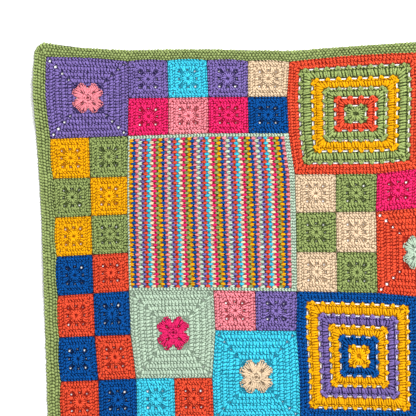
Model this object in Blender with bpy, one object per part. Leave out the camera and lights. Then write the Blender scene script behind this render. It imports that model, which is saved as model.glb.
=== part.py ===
# Crochet patchwork throw, laid flat with its face up.
# Crocheted squares of four kinds are sewn edge to edge inside a crocheted border.
# Metres, +Z up. The underside rests on z = 0 and the top edge lies toward +Y.
# Places on the throw are counted in small squares: columns to the right, rows downward.
import bpy
import bmesh
import math

# Driving dimensions in millimetres
mm = 0.001
unit = 75.0             # side of one small square
columns = 12            # small squares across the throw
rows = 14               # small squares down the throw
side_border = 25.0      # width of the border down the left and right sides, three crocheted rounds
end_border = 20.0       # width along the top and bottom, where the rounds are pulled in
corner_rounding = 1.3   # 1 would make the border's corners full quarter circles
seam_gap = 0.32         # clear space between neighbouring pieces
fabric = 3.3            # thickness along the seams
crown = 0.9             # extra thickness inside each small square
border_fabric = 4.0     # thickness of the border
border_ridge = 0.6      # the middle round of the border stands this much higher

# Holes cut through, in millimetres
small_hole = 4.4            # side of the four holes round a small square's centre
small_hole_offset = 14.8    # from the square's centre to a hole's centre
flower_hole = 4.6           # side of the corner holes in a flower square
flower_hole_offset = 57.5
slot_length = 11.0          # slots between the rounds of a big granny square
slot_width = 3.4
slot_offset = 94.0          # from the square's centre to the outermost ring of slots

# Hand-made drift of the seams away from an even grid, in millimetres.
# One line for each named row of the throw, one value for each column in drift_columns.
drift_columns = (0, 2, 4, 6, 8, 9, 12)
drift_east = {
    0: (-1, -1, -7, -6, 0, 10, 8),
    1: (1, 0, -4, -10, 7, 11, 7),
    2: (7, -1, -4, -7, 6, 8, 6),
    3: (12, -2, -3, 4, 4, 8, 5),
    4: (16, -2, -1, 6, 2, 6, 4),
    6: (21, 1, 5, 8, 5, 5, 3),
    7: (23, 4, 9, 7, 8, 6, 3),
    8: (26, 14, 3, 13, 9, 7, 4),
    9: (28, 16, 6, 14, 10, 7, 4),
    14: (26, 18, 12, 14, 10, 8, 6),
}
drift_south = {
    0: (-2, 6, 4, 7, -4, -10, -2),
    1: (-2, -1, -3, -4, -7, -9, -5),
    2: (-2, -7, -12, -12, -15, -18, -12),
    3: (-4, -8, -11, -12, -13, -23, -15),
    4: (-8, -14, -14, -17, -19, -26, -15),
    6: (-15, -24, -25, -23, -20, -13, -16),
    7: (-14, -19, -27, -26, -17, -16, -14),
    8: (-8, -14, -15, -17, -14, -13, -11),
    9: (-6, -13, -15, -17, -13, -11, -9),
    14: (-5, -9, -7, -10, -7, -6, -4),
}

# Soft ripples that lift the throw off the surface near its edges
# column, row, half width in columns, half length in rows, lift in millimetres
ripples = (
    (-0.35, 1.0, 0.9, 1.2, 5.0),
    (3.0, -0.3, 1.4, 0.9, 3.5),
    (7.6, -0.3, 1.6, 0.9, 4.0),
    (-0.3, 5.4, 0.8, 1.4, 3.0),
    (12.3, 4.6, 0.9, 1.6, 4.0),
    (12.3, 10.6, 0.9, 1.4, 3.5),
    (5.2, 14.3, 1.7, 0.9, 4.0),
    (-0.3, 11.4, 0.8, 1.5, 3.5),
)

# Big squares: kind, row, column, yarn of the outer rounds
big_squares = (
    ("flower", 0, 0, "purple"),
    ("granny", 0, 6, "orange"),
    ("stripes", 2, 2, "mint"),
    ("flower", 4, 8, "orange"),
    ("flower", 6, 2, "mint"),
    ("granny", 6, 6, "navy"),
    ("flower", 7, 4, "turquoise"),
    ("granny", 1, 9, "turquoise"),
    ("flower", 4, 10, "purple"),
    ("granny", 6, 9, "magenta"),
    ("granny", 9, 0, "purple"),
    ("granny", 9, 3, "green"),
    ("flower", 9, 6, "pink"),
    ("flower", 9, 8, "yellow"),
    ("flower", 9, 10, "turquoise"),
    ("granny", 11, 6, "orange"),
    ("granny", 11, 9, "navy"),
    ("flower", 12, 0, "turquoise"),
    ("flower", 12, 2, "peach"),
    ("flower", 12, 4, "magenta"),
)
square_span = {"small": 1, "flower": 2, "granny": 3, "stripes": 4}

# Runs of small squares: row, first column, yarns from left to right
small_runs = (
    (0, 2, ("purple", "turquoise", "purple", "peach")),
    (1, 2, ("magenta", "pink", "magenta", "navy")),
    (2, 0, ("yellow", "green")),
    (3, 0, ("green", "yellow")),
    (4, 0, ("yellow", "green")),
    (5, 0, ("navy", "orange")),
    (6, 0, ("orange", "navy")),
    (7, 0, ("navy", "orange")),
    (8, 0, ("orange", "navy")),
    (3, 6, ("peach", "green", "magenta")),
    (4, 6, ("green", "peach")),
    (5, 6, ("peach", "green")),
    (6, 4, ("pink", "purple")),
    (8, 2, ("turquoise", "orange")),
    (0, 9, ("turquoise", "peach", "purple")),
)

# Yarn colours, red green blue as seen
yarns = {
    "purple": (0.43, 0.33, 0.65),
    "pink": (0.92, 0.51, 0.55),
    "magenta": (0.88, 0.12, 0.39),
    "turquoise": (0.16, 0.75, 0.86),
    "peach": (0.92, 0.78, 0.63),
    "navy": (0.00, 0.29, 0.59),
    "orange": (0.92, 0.33, 0.20),
    "green": (0.51, 0.63, 0.35),
    "yellow": (0.96, 0.67, 0.00),
    "mint": (0.76, 0.86, 0.78),
}
yarn_roughness = 0.9


def clear_scene():
    for item in list(bpy.data.objects):
        bpy.data.objects.remove(item, do_unlink=True)


def yarn_material(name):
    label = "yarn_" + name
    if label in bpy.data.materials:
        return bpy.data.materials[label]
    material = bpy.data.materials.new(label)
    material.use_nodes = True
    shader = material.node_tree.nodes["Principled BSDF"]
    linear = [channel ** 2.2 for channel in yarns[name]]
    shader.inputs["Base Color"].default_value = (*linear, 1.0)
    shader.inputs["Roughness"].default_value = yarn_roughness
    shader.inputs["Metallic"].default_value = 0.0
    return material


def eased(stations, place):
    # index of the stretch that holds a place, and how far along it the place is, eased at both ends
    place = min(max(place, stations[0]), stations[-1])
    index = 0
    while index < len(stations) - 2 and place > stations[index + 1]:
        index += 1
    share = (place - stations[index]) / (stations[index + 1] - stations[index])
    return index, share * share * (3 - 2 * share)


def drift(table, col, row):
    row_stations = sorted(table)
    i, across = eased(drift_columns, col)
    j, down = eased(row_stations, row)
    upper = table[row_stations[j]]
    lower = table[row_stations[j + 1]]
    upper_value = upper[i] + (upper[i + 1] - upper[i]) * across
    lower_value = lower[i] + (lower[i + 1] - lower[i]) * across
    return upper_value + (lower_value - upper_value) * down


def crossing(col, row):
    # where two seams cross, in millimetres from the throw's upper left crossing
    east = col * unit + drift(drift_east, col, row)
    south = row * unit + drift(drift_south, col, row)
    return east, south


def place_on_throw(col, row):
    # seams run straight between crossings, so neighbours share them exactly
    left = min(max(math.floor(col), 0), columns - 1)
    top = min(max(math.floor(row), 0), rows - 1)
    across = col - left
    down = row - top
    points = [crossing(left + i, top + j) for j in (0, 1) for i in (0, 1)]
    weights = ((1 - across) * (1 - down), across * (1 - down), (1 - across) * down, across * down)
    east = sum(weight * point[0] for weight, point in zip(weights, points))
    south = sum(weight * point[1] for weight, point in zip(weights, points))
    return east, south


def lift(col, row):
    height = 0.0
    for centre_col, centre_row, half_width, half_length, amount in ripples:
        away = ((col - centre_col) / half_width) ** 2 + ((row - centre_row) / half_length) ** 2
        if away < 1:
            height += amount * (1 - away) ** 2
    return height


def border_point(col, row):
    # outside the seams the border keeps its width, and its corners are rounded
    inside_col = min(max(col, 0), columns)
    inside_row = min(max(row, 0), rows)
    out_col = (col - inside_col) * unit / side_border
    out_row = (row - inside_row) * unit / end_border
    reach = math.hypot(out_col, out_row)
    if out_col and out_row:
        full = max(abs(out_col), abs(out_row)) / reach
        keep = 1 - corner_rounding * (1 - full)
        out_col *= keep
        out_row *= keep
    east, south = place_on_throw(inside_col, inside_row)
    return east + out_col * side_border, south + out_row * end_border


def middle_of_throw():
    # centre of the box round the border's outer edge
    sides = (-side_border / unit, columns + side_border / unit)
    ends = (-end_border / unit, rows + end_border / unit)
    halves = range(2 * max(columns, rows) + 1)
    edge = [border_point(min(i / 2, columns), row) for i in halves for row in ends]
    edge += [border_point(col, min(i / 2, rows)) for i in halves for col in sides]
    edge += [border_point(col, row) for col in sides for row in ends]
    easts = [point[0] for point in edge]
    souths = [point[1] for point in edge]
    return (min(easts) + max(easts)) / 2, (min(souths) + max(souths)) / 2


centre_east, centre_south = middle_of_throw()


def world(east, south, height):
    return ((east - centre_east) * mm, (centre_south - south) * mm, height * mm)


def cloth_piece(name, yarn, underside, kept_cells, top_heights):
    # a flat net of cells on the underside is extruded upward into one closed piece
    mesh = bmesh.new()
    net = {key: mesh.verts.new(point) for key, point in underside.items()}
    for i, j in kept_cells:
        mesh.faces.new((net[i, j], net[i, j + 1], net[i + 1, j + 1], net[i + 1, j]))
    below = {vert: key for key, vert in net.items() if vert.link_faces}
    for vert in [vert for vert in mesh.verts if not vert.link_faces]:
        mesh.verts.remove(vert)
    places = {tuple(round(value, 7) for value in vert.co): key for vert, key in below.items()}
    raised = bmesh.ops.extrude_face_region(mesh, geom=mesh.faces[:])
    for item in raised["geom"]:
        if isinstance(item, bmesh.types.BMVert):
            key = places[tuple(round(value, 7) for value in item.co)]
            item.co.z += top_heights[key] * mm
    bmesh.ops.triangulate(mesh, faces=mesh.faces[:])
    bmesh.ops.recalc_face_normals(mesh, faces=mesh.faces[:])
    data = bpy.data.meshes.new(name)
    mesh.to_mesh(data)
    mesh.free()
    data.materials.append(yarn_material(yarn))
    item = bpy.data.objects.new(name, data)
    bpy.context.scene.collection.objects.link(item)
    return item


def puff(col, row):
    # each small square swells a little between its seams
    across = 1 - (2 * (col - math.floor(col)) - 1) ** 2
    down = 1 - (2 * (row - math.floor(row)) - 1) ** 2
    return fabric + crown * min(1.0, 2 * across * down)


def broad_puff(local_col, local_row, span):
    # a big square swells once over its whole width
    across = 1 - (2 * local_col / span - 1) ** 2
    down = 1 - (2 * local_row / span - 1) ** 2
    return fabric + crown * min(1.0, 2.5 * across * down)


def square_piece(kind, row, col, yarn, lines, holes):
    # lines are the places of the net's lines across the square, in millimetres
    # holes are the cells left open
    span = square_span[kind]
    inset = seam_gap / 2
    underside = {}
    heights = {}
    for i, across in enumerate(lines):
        for j, down in enumerate(lines):
            local_col = min(max(across, inset), span * unit - inset) / unit
            local_row = min(max(down, inset), span * unit - inset) / unit
            east, south = place_on_throw(col + local_col, row + local_row)
            underside[i, j] = world(east, south, lift(col + local_col, row + local_row))
            if kind == "small":
                heights[i, j] = puff(local_col, local_row)
            else:
                heights[i, j] = broad_puff(local_col, local_row, span)
    cells = range(len(lines) - 1)
    kept = [(i, j) for i in cells for j in cells if (i, j) not in holes]
    cloth_piece(f"{kind}_r{row}c{col}", yarn, underside, kept, heights)


def small_square(row, col, yarn):
    middle = unit / 2
    near = small_hole_offset - small_hole / 2
    far = small_hole_offset + small_hole / 2
    lines = (0, middle - far, middle - near, middle + near, middle + far, unit)
    square_piece("small", row, col, yarn, lines, {(1, 1), (1, 3), (3, 1), (3, 3)})


def flower_square(row, col, yarn):
    side = 2 * unit
    near = flower_hole_offset - flower_hole / 2
    far = flower_hole_offset + flower_hole / 2
    lines = (0, unit - far, unit - near, unit, unit + near, unit + far, side)
    square_piece("flower", row, col, yarn, lines, {(1, 1), (1, 4), (4, 1), (4, 4)})


def granny_square(row, col, yarn):
    # two slots on each side, each starting where a small square's seam meets the side
    side = 3 * unit
    middle = side / 2
    near = slot_offset - slot_width / 2
    far = slot_offset + slot_width / 2
    lines = (
        0, middle - far, middle - near,
        unit, unit + slot_length, 2 * unit - slot_length, 2 * unit,
        middle + near, middle + far, side,
    )
    along = (3, 5)
    ring = (1, 7)
    holes = {(i, j) for i in along for j in ring} | {(j, i) for i in along for j in ring}
    square_piece("granny", row, col, yarn, lines, holes)


def striped_panel(row, col, yarn):
    lines = [half * unit / 2 for half in range(2 * square_span["stripes"] + 1)]
    square_piece("stripes", row, col, yarn, lines, set())


def border_strip(name, along_columns, far_side):
    # one of four strips, mitred at the corners; three lines across it
    count, far_seam = (columns, rows) if along_columns else (rows, columns)
    side, end = side_border / unit, end_border / unit
    beyond, width = (side, end) if along_columns else (end, side)
    inset = seam_gap / 2
    underside = {}
    heights = {}
    steps = 2 * count
    for i in range(steps + 1):
        for j, out in enumerate((0.0, 0.5, 1.0)):
            along = i / 2
            if i == 0:
                along = -out * beyond
            if i == steps:
                along = count + out * beyond
            across = far_seam + out * width if far_side else -out * width
            col, row = (along, across) if along_columns else (across, along)
            east, south = border_point(col, row)
            mitre = inset * math.sqrt(2) * ((i == 0) - (i == steps))
            away = inset * (j == 0) * (1 if far_side else -1)
            if along_columns:
                east += mitre
                south += away
            else:
                south += mitre
                east += away
            underside[i, j] = world(east, south, lift(col, row))
            heights[i, j] = border_fabric + border_ridge * (j == 1)
    kept = [(i, j) for i in range(steps) for j in range(2)]
    cloth_piece(name, "green", underside, kept, heights)


def build():
    clear_scene()
    makers = {"flower": flower_square, "granny": granny_square, "stripes": striped_panel}
    for kind, row, col, yarn in big_squares:
        makers[kind](row, col, yarn)
    for row, first, colours in small_runs:
        for step, yarn in enumerate(colours):
            small_square(row, first + step, yarn)
    border_strip("border_top", True, False)
    border_strip("border_bottom", True, True)
    border_strip("border_left", False, False)
    border_strip("border_right", False, True)


build()
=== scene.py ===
import math
import bpy
import numpy as np
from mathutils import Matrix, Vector


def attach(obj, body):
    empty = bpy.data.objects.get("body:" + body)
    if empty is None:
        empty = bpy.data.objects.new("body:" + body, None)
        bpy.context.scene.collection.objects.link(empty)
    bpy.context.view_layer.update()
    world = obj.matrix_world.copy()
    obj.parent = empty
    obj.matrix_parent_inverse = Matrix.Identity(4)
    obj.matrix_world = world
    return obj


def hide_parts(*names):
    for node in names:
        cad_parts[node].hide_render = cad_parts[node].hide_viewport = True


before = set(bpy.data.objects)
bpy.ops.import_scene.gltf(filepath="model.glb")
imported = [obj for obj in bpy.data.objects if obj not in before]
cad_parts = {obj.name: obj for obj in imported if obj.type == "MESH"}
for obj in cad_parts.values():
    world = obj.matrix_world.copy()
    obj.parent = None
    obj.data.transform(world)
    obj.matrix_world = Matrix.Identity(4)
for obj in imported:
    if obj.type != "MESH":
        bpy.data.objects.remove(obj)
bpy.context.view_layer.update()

# The crochet throw lies flat, face up. All sizes below are millimetres unless a note says otherwise.
# Places on the throw are counted in small squares: columns to the right, rows downward.
mm = 0.001
throwSizes = {
    "unit": 75.0,             # side of one small square
    "columns": 12,
    "rows": 14,
    "sideBorder": 25.0,       # width of the border down the sides
    "endBorder": 20.0,        # and along the top and bottom
    "cornerRounding": 1.15,
    "cornerDraw": (0.14, -0.28),   # share by which the border at the sides and ends narrows near a corner
    "cornerReach": (28.0, 24.0),   # and how far along it that is felt
    "swell": 2.4,             # how far the squares bow into the border at the left and the top
    "swellReach": 0.6,        # and how many squares inward that is felt
}
topSeams = (0, 2, 3, 4, 5, 6, 9, 10, 11, 12)        # columns where squares meet at the top border
leftSeams = (0, 2, 3, 4, 5, 6, 7, 8, 9, 12, 14)     # and rows, at the left one
driftColumns = (0, 2, 4, 6, 8, 9, 12)
driftRows = (0, 1, 2, 3, 4, 6, 7, 8, 9, 14)
driftEast = (               # drift of the seams, one line for each of driftRows
    (-1, -1, -7, -6, 0, 10, 8),
    (1, 0, -4, -10, 7, 11, 7),
    (7, -1, -4, -7, 6, 8, 6),
    (12, -2, -3, 4, 4, 8, 5),
    (16, -2, -1, 6, 2, 6, 4),
    (21, 1, 5, 8, 5, 5, 3),
    (23, 4, 9, 7, 8, 6, 3),
    (26, 14, 3, 13, 9, 7, 4),
    (28, 16, 6, 14, 10, 7, 4),
    (26, 18, 12, 14, 10, 8, 6),
)
driftSouth = (
    (-2, 6, 4, 7, -4, -10, -2),
    (-2, -1, -3, -4, -7, -9, -5),
    (-2, -7, -12, -12, -15, -18, -12),
    (-4, -8, -11, -12, -13, -23, -15),
    (-8, -14, -14, -17, -19, -26, -15),
    (-15, -24, -25, -23, -20, -13, -16),
    (-14, -19, -27, -26, -17, -16, -14),
    (-8, -14, -15, -17, -14, -13, -11),
    (-6, -13, -15, -17, -13, -11, -9),
    (-5, -9, -7, -10, -7, -6, -4),
)
ripples = (                 # column, row, half width, half length, lift of the soft ripples
    (-0.35, 1.0, 0.9, 1.2, 5.0),
    (3.0, -0.3, 1.4, 0.9, 3.5),
    (7.6, -0.3, 1.6, 0.9, 4.0),
    (-0.3, 5.4, 0.8, 1.4, 3.0),
    (12.3, 4.6, 0.9, 1.6, 4.0),
    (12.3, 10.6, 0.9, 1.4, 3.5),
    (5.2, 14.3, 1.7, 0.9, 4.0),
    (-0.3, 11.4, 0.8, 1.5, 3.5),
)
unit = throwSizes["unit"]
columns = throwSizes["columns"]
rows = throwSizes["rows"]
sideBorder = throwSizes["sideBorder"]
endBorder = throwSizes["endBorder"]

# Big squares: kind, row, column, yarns from the outside in
bigSquares = (
    ("flower", 0, 0, ("purple", "pink")),
    ("granny", 0, 6, ("orange", "green", "yellow", "green", "orange", "green")),
    ("stripes", 2, 2, ("mint",)),
    ("flower", 4, 8, ("orange", "mint")),
    ("flower", 6, 2, ("mint", "magenta")),
    ("granny", 6, 6, ("navy", "yellow", "purple", "yellow", "navy", "yellow")),
    ("flower", 7, 4, ("turquoise", "peach")),
    ("granny", 1, 9, ("turquoise", "peach", "magenta", "peach", "turquoise", "yellow")),
    ("flower", 4, 10, ("purple", "yellow")),
    ("granny", 6, 9, ("magenta", "mint", "green", "mint", "magenta", "peach")),
    ("granny", 9, 0, ("purple", "yellow", "turquoise", "yellow", "purple", "mint")),
    ("granny", 9, 3, ("green", "pink", "peach", "pink", "green", "magenta")),
    ("flower", 9, 6, ("pink", "mint")),
    ("flower", 9, 8, ("yellow", "navy")),
    ("flower", 9, 10, ("turquoise", "orange")),
    ("granny", 11, 6, ("orange", "turquoise", "yellow", "turquoise", "orange", "navy")),
    ("granny", 11, 9, ("navy", "green", "orange", "green", "navy", "pink")),
    ("flower", 12, 0, ("turquoise", "magenta")),
    ("flower", 12, 2, ("peach", "purple")),
    ("flower", 12, 4, ("magenta", "yellow")),
)
smallRuns = (               # row, first column, yarns from left to right
    (0, 2, ("purple", "turquoise", "purple", "peach")),
    (1, 2, ("magenta", "pink", "magenta", "navy")),
    (2, 0, ("yellow", "green")),
    (3, 0, ("green", "yellow")),
    (4, 0, ("yellow", "green")),
    (5, 0, ("navy", "orange")),
    (6, 0, ("orange", "navy")),
    (7, 0, ("navy", "orange")),
    (8, 0, ("orange", "navy")),
    (3, 6, ("peach", "green", "magenta")),
    (4, 6, ("green", "peach")),
    (5, 6, ("peach", "green")),
    (6, 4, ("pink", "purple")),
    (8, 2, ("turquoise", "orange")),
    (0, 9, ("turquoise", "peach", "purple")),
)
yarnColours = {             # as seen, before the light; the edging is the border's green
    "purple": (0.365, 0.292, 0.554),
    "pink": (0.809, 0.414, 0.463),
    "magenta": (0.799, 0.063, 0.293),
    "turquoise": (0.143, 0.666, 0.767),
    "peach": (0.756, 0.652, 0.520),
    "navy": (0.003, 0.192, 0.475),
    "orange": (0.772, 0.197, 0.099),
    "green": (0.441, 0.506, 0.253),
    "yellow": (0.797, 0.531, 0.003),
    "mint": (0.562, 0.649, 0.559),
    "edging": (0.433, 0.497, 0.256),
}
yarnPaintedShade = {               # how strong the painted shade between stitches is, 1 for the other yarns
    "mint": 0.4,
    "peach": 0.65,
    "yellow": 0.65,
    "turquoise": 0.75,
    "edging": 0.7,
}
stripeOrder = ("yellow", "navy", "pink", "mint", "purple", "orange", "turquoise", "peach", "magenta",
               "green")


# Where a place on the flat pattern lies on the throw

def eased(stations, place):
    place = np.clip(place, stations[0], stations[-1])
    index = np.clip(np.searchsorted(stations, place, side="left") - 1, 0, len(stations) - 2)
    start = np.take(stations, index)
    share = (place - start) / (np.take(stations, index + 1) - start)
    return index, share * share * (3 - 2 * share)


def drift(table, col, row):
    values = np.array(table, dtype=float)
    i, across = eased(driftColumns, col)
    j, down = eased(driftRows, row)
    upper = values[j, i] + (values[j, i + 1] - values[j, i]) * across
    lower = values[j + 1, i] + (values[j + 1, i + 1] - values[j + 1, i]) * across
    return upper + (lower - upper) * down


crossRows, crossCols = np.mgrid[0:rows + 1, 0:columns + 1].astype(float)
crossEast = crossCols * unit + drift(driftEast, crossCols, crossRows)
crossSouth = crossRows * unit + drift(driftSouth, crossCols, crossRows)


def betweenCrossings(values, col, row):
    left = np.clip(np.floor(col), 0, columns - 1).astype(int)
    top = np.clip(np.floor(row), 0, rows - 1).astype(int)
    across, down = col - left, row - top
    upper = values[top, left] * (1 - across) + values[top, left + 1] * across
    lower = values[top + 1, left] * (1 - across) + values[top + 1, left + 1] * across
    return upper * (1 - down) + lower * down


def swell(seams, place):
    # how far a square's side bows out between its two seams, from 0 to 1
    index = np.clip(np.searchsorted(seams, place, side="left") - 1, 0, len(seams) - 2)
    start = np.take(seams, index)
    return np.sin(math.pi * (place - start) / (np.take(seams, index + 1) - start))


def placeOnThrow(col, row):
    # outside the seams the border keeps its width, and its corners are rounded
    insideCol, insideRow = np.clip(col, 0, columns), np.clip(row, 0, rows)
    outCol, outRow = (col - insideCol) * unit / sideBorder, (row - insideRow) * unit / endBorder
    reach = np.hypot(outCol, outRow)
    reach = np.where(reach > 0, reach, 1)
    full = np.maximum(abs(outCol), abs(outRow)) / reach
    inCorner = (abs(outCol) > 1e-9) & (abs(outRow) > 1e-9)
    keep = np.where(inCorner, 1 - throwSizes["cornerRounding"] * (1 - full), 1)
    sideways = (outCol / reach) ** 2
    ways = zip((sideways, 1 - sideways), throwSizes["cornerDraw"], throwSizes["cornerReach"],
               (insideRow, insideCol), (rows, columns))
    for share, draw, far, place, length in ways:
        nearCorner = np.minimum(place, length - place) * unit / far
        keep = keep * (1 - share * draw * np.exp(-nearCorner ** 2))
    east = betweenCrossings(crossEast, insideCol, insideRow) + outCol * keep * sideBorder
    south = betweenCrossings(crossSouth, insideCol, insideRow) + outRow * keep * endBorder
    nearLeft = np.clip(1 - insideCol / throwSizes["swellReach"], 0, 1) * np.clip(1 - abs(outCol), 0, 1)
    nearTop = np.clip(1 - insideRow / throwSizes["swellReach"], 0, 1) * np.clip(1 - abs(outRow), 0, 1)
    east = east - throwSizes["swell"] * swell(leftSeams, insideRow) * nearLeft
    south = south - throwSizes["swell"] * swell(topSeams, insideCol) * nearTop
    return east, south


def lift(col, row):
    height = np.zeros_like(col)
    for centreCol, centreRow, halfWidth, halfLength, amount in ripples:
        away = ((col - centreCol) / halfWidth) ** 2 + ((row - centreRow) / halfLength) ** 2
        height += amount * np.clip(1 - away, 0, None) ** 2
    return height


def middleOfThrow():
    side, end = sideBorder / unit, endBorder / unit
    halves = np.arange(2 * max(columns, rows) + 1) / 2
    cols, rws = np.minimum(halves, columns), np.minimum(halves, rows)
    edges = [placeOnThrow(cols, np.full_like(cols, r)) for r in (-end, rows + end)]
    edges += [placeOnThrow(np.full_like(rws, c), rws) for c in (-side, columns + side)]
    easts = np.concatenate([edge[0] for edge in edges])
    souths = np.concatenate([edge[1] for edge in edges])
    return (easts.min() + easts.max()) / 2, (souths.min() + souths.max()) / 2


middleEast, middleSouth = middleOfThrow()


def layOnThrow(flat):
    # flat holds rows of x, y and height on the flat pattern, y upward, all in millimetres
    col, row = flat[:, 0] / unit, -flat[:, 1] / unit
    east, south = placeOnThrow(col, row)
    height = lift(col, row) + flat[:, 2]
    return np.stack(((east - middleEast) * mm, (middleSouth - south) * mm, height * mm), axis=1)


# Node trees

class Value:
    # one number in a node tree: sums and products of it add Math nodes
    def __init__(self, socket):
        self.socket = socket

    def worked(self, operation, first, second=None):
        tree = self.socket.id_data
        node = tree.nodes.new("ShaderNodeMath")
        node.operation = operation
        for slot, item in zip(node.inputs, (first, second)):
            if isinstance(item, Value):
                tree.links.new(item.socket, slot)
            elif item is not None:
                slot.default_value = item
        return Value(node.outputs[0])

    def __add__(self, other):
        return self.worked("ADD", self, other)

    def __mul__(self, other):
        return self.worked("MULTIPLY", self, other)

    def __sub__(self, other):
        return self.worked("SUBTRACT", self, other)

    def __rsub__(self, other):
        return self.worked("SUBTRACT", other, self)

    def __pow__(self, other):
        return self.worked("POWER", self, other)

    __radd__ = __add__
    __rmul__ = __mul__

    def sine(self):
        return self.worked("SINE", self)


class Tree:
    # a node tree that adds a node with its settings first, then its values and links
    def __init__(self, tree):
        self.tree = tree

    def add(self, kind, settings=None, **sockets):
        node = self.tree.nodes.new(kind)
        for name, value in (settings or {}).items():
            setattr(node, name, value)
        for name, value in sockets.items():
            key = int(name[1:]) if name[1:].isdigit() else name     # i0 is the first input
            self.feed(node.inputs[key], value)
        return node

    def feed(self, slot, value):
        if isinstance(value, Value):
            value = value.socket
        if isinstance(value, bpy.types.NodeSocket):
            self.tree.links.new(value, slot)
        else:
            slot.default_value = value


yarnLook = {
    "roughness": 0.9,
    "specular": 0.08,
    "plyTurns": 5.0,        # turns of the ply along one stitch
    "plySlant": 2.0,        # and round it
    "plyTone": 0.04,
    "plyDepth": 0.35,       # depth of the relief, in millimetres
    "reliefStrength": 0.7,
    "plyRelief": 0.5,
    "fuzzRelief": 0.6,
    "fuzz": 900.0,          # scale of the fine fuzz
    "fuzzTone": 0.2,
    "patch": 70.0,          # scale of broad lighter and darker patches
    "patchTone": 0.2,
    "speck": 420.0,         # scale of the random specks of painted highlight and painted shade
    "speckDepth": 1.5,
    "endShade": 0.75,       # painted shade: how much darker a stitch is where it dives into the cloth
    "endPower": 0.7,
    "sideShade": 0.4,       # and painted shade down its sides, with its top lighter
    "paintedShadeGamma": 2.4,       # painted shade: the shaded copy of the yarn is darker and richer than the lit one
    "paintedShadeTone": 1.05,
    "paintedHighlightGamma": 0.75,      # and painted highlight: the lit copy of the yarn is paler, as fuzz in full light
    "paleTone": 1.1,
}


def yarnMaterial():
    look = yarnLook
    material = bpy.data.materials.new("crochetYarn")
    material.use_nodes = True
    tree = Tree(material.node_tree)
    shader = material.node_tree.nodes["Principled BSDF"]
    place = tree.add("ShaderNodeTexCoord").outputs["Object"]
    colour = tree.add("ShaderNodeAttribute", {"attribute_name": "yarnTint"})
    # the tint's alpha holds how strong the painted shade is
    tint, depth = colour.outputs["Color"], Value(colour.outputs["Alpha"])
    strand = tree.add("ShaderNodeUVMap", {"uv_map": "strand"}).outputs["UV"]
    parts = tree.add("ShaderNodeSeparateXYZ", Vector=strand)
    along, around = Value(parts.outputs["X"]), Value(parts.outputs["Y"])

    def noise(scale, detail):
        return Value(tree.add("ShaderNodeTexNoise", Vector=place, Scale=scale, Detail=detail).outputs["Fac"])

    fuzz = noise(look["fuzz"], 2.0)
    speck = noise(look["speck"], 1.0)
    patch = noise(look["patch"], 2.0)
    ply = ((along * look["plyTurns"] + around * look["plySlant"]) * (2 * math.pi)).sine()
    # painted shade: each stitch darker toward its ends and down its sides, lighter along its top
    belly = (along * math.pi).sine() ** look["endPower"]
    crest = (around * (2 * math.pi)).sine() * 0.5 + 0.5
    lit = belly * look["endShade"] + (1 - look["endShade"])
    lit = lit * (crest * look["sideShade"] + (1 - look["sideShade"]))
    # random specks push the mix toward painted highlight and painted shade; the alpha sets how strong the
    # painted shade is
    lit = 1 - (1 - lit - (speck - 0.5) * look["speckDepth"]) * depth

    def toned(gamma, scale):
        power = tree.add("ShaderNodeGamma", Color=tint, Gamma=look[gamma])
        scaled = tree.add("ShaderNodeVectorMath", {"operation": "SCALE"}, i0=power.outputs[0],
                          Scale=look[scale])
        return scaled.outputs[0]

    # a painted-shade copy and a painted-highlight copy of the yarn's colour, mixed by how lit each place is
    # painted
    deep, pale = toned("paintedShadeGamma", "paintedShadeTone"), toned("paintedHighlightGamma", "paleTone")
    shaded = tree.add("ShaderNodeMix", {"data_type": "RGBA", "clamp_factor": True}, i0=lit, i6=deep, i7=pale)
    tone = patch * look["patchTone"] + (1 - look["patchTone"] / 2)
    tone = tone * (fuzz * look["fuzzTone"] + (1 - look["fuzzTone"] / 2))
    tone = tone * (ply * look["plyTone"] + (1 - look["plyTone"]))
    coloured = tree.add("ShaderNodeVectorMath", {"operation": "SCALE"}, i0=shaded.outputs[2], Scale=tone)
    tree.feed(shader.inputs["Base Color"], coloured.outputs[0])
    relief = ply * look["plyRelief"] + fuzz * look["fuzzRelief"]
    bump = tree.add("ShaderNodeBump", Height=relief, Distance=look["plyDepth"] * mm,
                    Strength=look["reliefStrength"])
    tree.feed(shader.inputs["Normal"], bump.outputs[0])
    shader.inputs["Roughness"].default_value = look["roughness"]
    shader.inputs["Specular IOR Level"].default_value = look["specular"]
    return material


yarn = yarnMaterial()
print("yarn material made")


# The strand that every stitch is made of: a small closed spindle, 1 long, wide and high

strandLook = {
    "sides": 4,
    "rings": (-0.28, 0.28),     # places of its two rings along it
    "arch": 0.2,                # how far its middle stands above its ends
}


def makeStrand():
    sides = strandLook["sides"]
    places = strandLook["rings"]
    points, faces, uvs = [], [], []

    def bow(t):
        return strandLook["arch"] * (0.5 - (2 * t) ** 2)

    for t in places:
        for k in range(sides):
            turn = 2 * math.pi * k / sides
            points.append((t, math.cos(turn) / 2, bow(t) + math.sin(turn) / 2))
    tips = len(points), len(points) + 1
    points += [(t, 0, bow(t)) for t in (-0.5, 0.5)]
    first, second = places[0] + 0.5, places[1] + 0.5
    for k in range(sides):
        after = (k + 1) % sides
        faces.append((k, after, after + sides, k + sides))
        uvs += [(first, k / sides), (first, (k + 1) / sides), (second, (k + 1) / sides), (second, k / sides)]
    for k in range(sides):
        after = (k + 1) % sides
        faces.append((tips[0], after, k))
        uvs += [(0, (k + 0.5) / sides), (first, (k + 1) / sides), (first, k / sides)]
        faces.append((tips[1], sides + k, sides + after))
        uvs += [(1, (k + 0.5) / sides), (second, k / sides), (second, (k + 1) / sides)]
    mesh = bpy.data.meshes.new("strand")
    mesh.from_pydata(points, [], faces)
    layer = mesh.uv_layers.new(name="strand")
    layer.uv.foreach_set("vector", np.array(uvs, dtype=np.float32).ravel())
    mesh.polygons.foreach_set("use_smooth", [True] * len(mesh.polygons))
    mesh.update()
    item = bpy.data.objects.new("strand", mesh)
    bpy.context.scene.collection.objects.link(item)
    return item


strandObject = makeStrand()


# Geometry Nodes that set a strand on every point

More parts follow.
